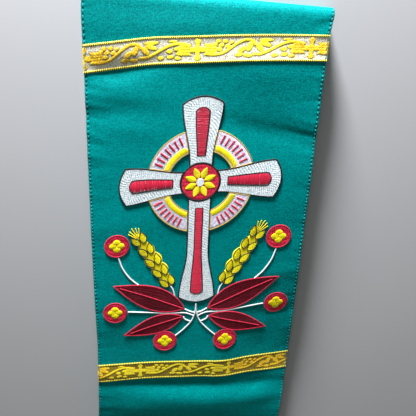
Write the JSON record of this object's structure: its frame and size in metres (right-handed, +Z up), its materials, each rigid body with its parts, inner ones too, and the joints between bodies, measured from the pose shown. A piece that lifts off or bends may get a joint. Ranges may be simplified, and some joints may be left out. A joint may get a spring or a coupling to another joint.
{
  "type": "clerical stole, folded flat",
  "caption": "Green clerical stole folded into a flat bundle, its embroidered end on top between two gold galloon bands and the plain hem draped over the edge.",
  "frame": {"origin": "centre of the bounding box in X and Y, on the surface that the folded stole rests on", "axes": "+X across the stole, +Y along it from the hem to the thick fold, +Z up from the resting surface"},
  "size_m": [0.161, 0.3866, 0.0219],
  "materials": {
    "green_cloth": "soft twill gabardine in teal green with a slight sheen, topstitched along its edges",
    "gold_galloon": "woven metallic gold braid on a pale silver ground with twisted cord edges",
    "silver_thread": "dense silver-white fill embroidery with black outlines",
    "lilac_thread": "satin-stitched lilac-white embroidery with a yellow inner rim",
    "crimson_thread": "satin-stitched crimson embroidery with yellow centres",
    "dark_red_thread": "satin-stitched dark red embroidery",
    "black_thread": "narrow black satin-stitched outlines",
    "yellow_thread": "satin-stitched bright yellow embroidery"
  },
  "bodies": {
    "root": {"cross_arm_foot": "silver_thread", "cross_arm_left": "silver_thread", "cross_arm_right": "silver_thread", "cross_arm_top": "silver_thread", "flower_high_left": "crimson_thread", "flower_high_right": "crimson_thread", "flower_low_left": "crimson_thread", "flower_low_right": "crimson_thread", "flower_side_left": "crimson_thread", "flower_side_right": "crimson_thread", "folded_layers": "green_cloth", "front_panel": "green_cloth", "galloon_lower": "gold_galloon", "galloon_upper": "gold_galloon", "leaf_long_left": "dark_red_thread", "leaf_long_right": "dark_red_thread", "leaf_short_left": "dark_red_thread", "leaf_short_right": "dark_red_thread", "ring_quarter_1": "lilac_thread", "ring_quarter_2": "lilac_thread", "ring_quarter_3": "lilac_thread", "ring_quarter_4": "lilac_thread", "rosette": "crimson_thread", "wheat_ear_left": "yellow_thread", "wheat_ear_right": "yellow_thread"}
  },
  "joints": []
}
